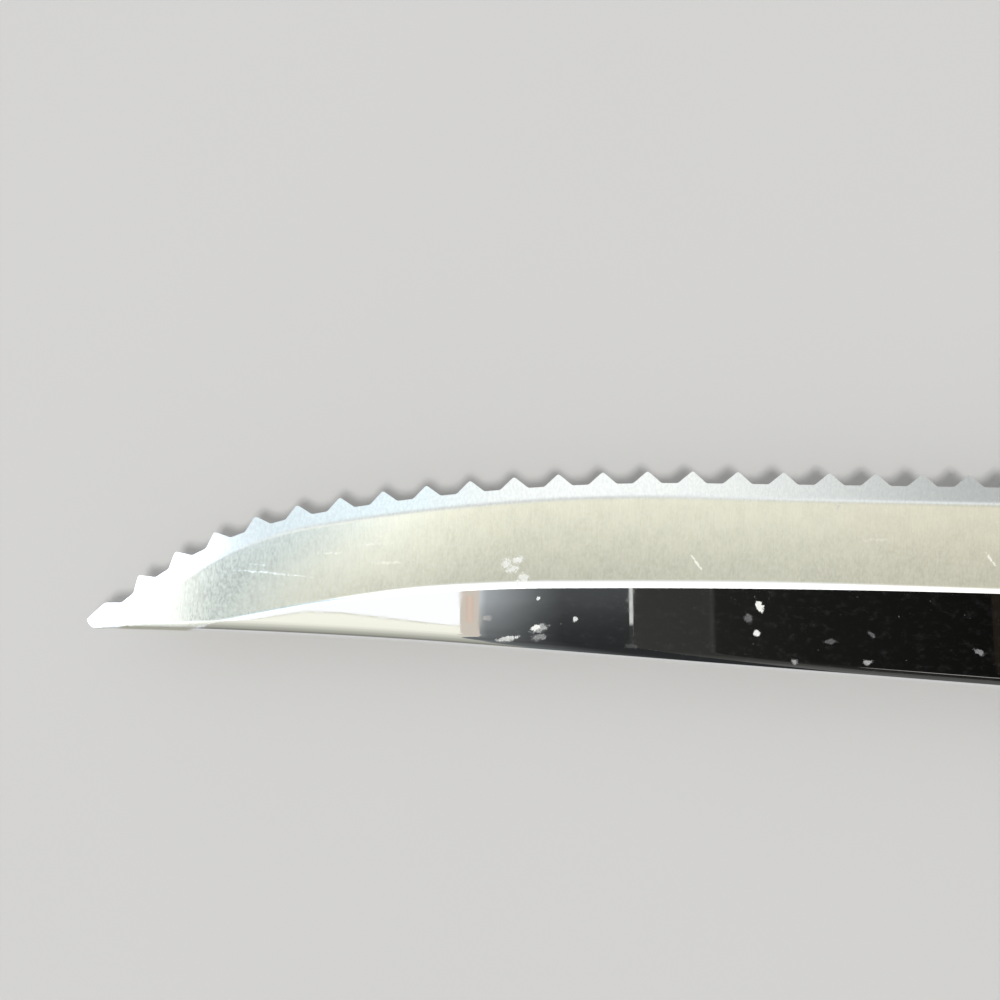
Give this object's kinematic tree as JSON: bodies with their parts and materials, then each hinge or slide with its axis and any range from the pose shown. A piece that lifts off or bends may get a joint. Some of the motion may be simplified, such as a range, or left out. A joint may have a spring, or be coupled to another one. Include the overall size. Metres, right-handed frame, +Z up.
{
  "type": "kitchen utility knife",
  "caption": "Serrated kitchen utility knife: hollow-ground steel blade with pointed teeth to the tip, full tang, riveted black two-scale handle.",
  "frame": {"origin": "on the lower flat of the handle, on the rivet line, midway between the front and middle rivets", "axes": "+X along the knife towards the butt, with the point at -X; +Y towards the cutting edge, with the spine at -Y; +Z up out of the right side, the knife lying on the left side of its handle"},
  "size_m": [0.25, 0.0243, 0.016],
  "materials": {
    "blade_steel": "satin hollow grind and edge bevel, mirror-polished flats",
    "scale_plastic": "satin moulded plastic",
    "rivet_metal": "ground flush and brushed"
  },
  "bodies": {
    "root": {"blade": "blade_steel", "right_scale": "scale_plastic", "left_scale": "scale_plastic", "front_rivet_post": "rivet_metal", "front_rivet_sleeve": "rivet_metal", "middle_rivet_post": "rivet_metal", "middle_rivet_sleeve": "rivet_metal", "rear_rivet_post": "rivet_metal", "rear_rivet_sleeve": "rivet_metal"}
  },
  "joints": []
}
